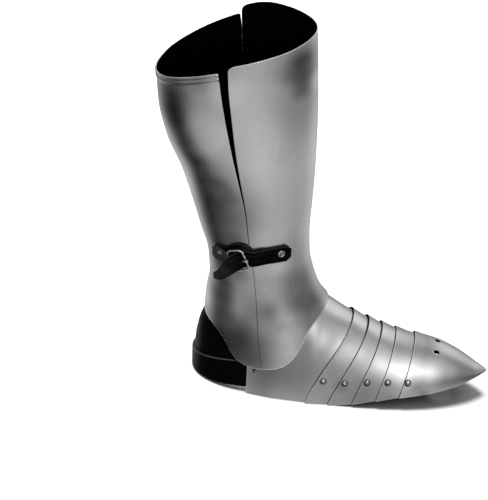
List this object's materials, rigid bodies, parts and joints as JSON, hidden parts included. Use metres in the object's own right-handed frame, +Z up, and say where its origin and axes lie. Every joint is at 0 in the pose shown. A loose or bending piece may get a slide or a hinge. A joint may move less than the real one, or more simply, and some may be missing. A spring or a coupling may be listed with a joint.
{
  "type": "sabaton with hinged greave",
  "caption": "Pointed steel sabaton with sliding lames under a closed hinged greave, with black leather heel pieces and a buckled ankle strap.",
  "frame": {"origin": "on the floor, under the middle of the whole object's box", "axes": "+X points to the toe, +Y to the outer side where the greave's hinges are, +Z up the leg; the sabaton stands on its sole edge at z = 0"},
  "size_m": [0.3953, 0.1378, 0.4421],
  "materials": {
    "greave_steel": "satin polished steel with soft smoky shading, blackened inside",
    "sabaton_steel": "satin polished steel, brighter on the crown, blackened inside",
    "rivets": "polished domed rivets",
    "hinge_steel": "plain steel, darker in the corners",
    "heel_leather": "black smooth leather with a soft shine",
    "strap_leather": "black strap leather with creases",
    "buckle_metal": "bright nickelled wire"
  },
  "bodies": {
    "root": {"front_plate": "greave_steel", "calf_plate": "greave_steel", "rear_plate": "sabaton_steel", "upper_hinge_front_leaf": "hinge_steel", "upper_hinge_calf_leaf": "hinge_steel", "upper_hinge_pin": "hinge_steel", "upper_hinge_rivet_front_top": "rivets", "upper_hinge_rivet_front_low": "rivets", "upper_hinge_rivet_calf_top": "rivets", "upper_hinge_rivet_calf_low": "rivets", "lower_hinge_front_leaf": "hinge_steel", "lower_hinge_calf_leaf": "hinge_steel", "lower_hinge_pin": "hinge_steel", "lower_hinge_rivet_front_top": "rivets", "lower_hinge_rivet_front_low": "rivets", "lower_hinge_rivet_calf_top": "rivets", "lower_hinge_rivet_calf_low": "rivets", "ankle_stud_outer": "hinge_steel", "ankle_stud_inner": "hinge_steel", "heel_counter": "heel_leather", "heel_strap": "heel_leather", "heel_rivet_outer": "rivets", "heel_rivet_inner": "rivets", "ankle_strap": "strap_leather", "strap_rivet": "rivets", "buckle_chape": "strap_leather", "chape_rivet": "rivets", "backing_pad": "strap_leather", "buckle_frame": "buckle_metal", "buckle_prong": "buckle_metal"},
    "first_lame": {"lame_1": "sabaton_steel", "lame_1_rivet_outer": "rivets", "lame_1_rivet_inner": "rivets"},
    "second_lame": {"lame_2": "sabaton_steel", "lame_2_rivet_outer": "rivets", "lame_2_rivet_inner": "rivets"},
    "third_lame": {"lame_3": "sabaton_steel", "lame_3_rivet_outer": "rivets", "lame_3_rivet_inner": "rivets"},
    "fourth_lame": {"lame_4": "sabaton_steel", "lame_4_rivet_outer": "rivets", "lame_4_rivet_inner": "rivets"},
    "toe": {"toe_cap": "sabaton_steel", "toe_cap_rivet_outer": "rivets", "toe_cap_rivet_inner": "rivets"}
  },
  "joints": [
    {"name": "lame_1_flex", "type": "hinge", "parent": "root", "child": "first_lame", "pos_m": [0.0116, 0, 0.033], "axis": [0, -1, 0], "range_deg": [-4, 5]},
    {"name": "lame_2_flex", "type": "hinge", "parent": "first_lame", "child": "second_lame", "pos_m": [0.0364, 0, 0.0324], "axis": [0, -1, 0], "range_deg": [-4, 5]},
    {"name": "lame_3_flex", "type": "hinge", "parent": "second_lame", "child": "third_lame", "pos_m": [0.0621, 0, 0.0356], "axis": [0, -1, 0], "range_deg": [-4, 4]},
    {"name": "lame_4_flex", "type": "hinge", "parent": "third_lame", "child": "fourth_lame", "pos_m": [0.0856, 0, 0.0377], "axis": [0, -1, 0], "range_deg": [-4, 5]},
    {"name": "toe_flex", "type": "hinge", "parent": "fourth_lame", "child": "toe", "pos_m": [0.1085, 0, 0.0384], "axis": [0, -1, 0], "range_deg": [-4, 6]}
  ]
}
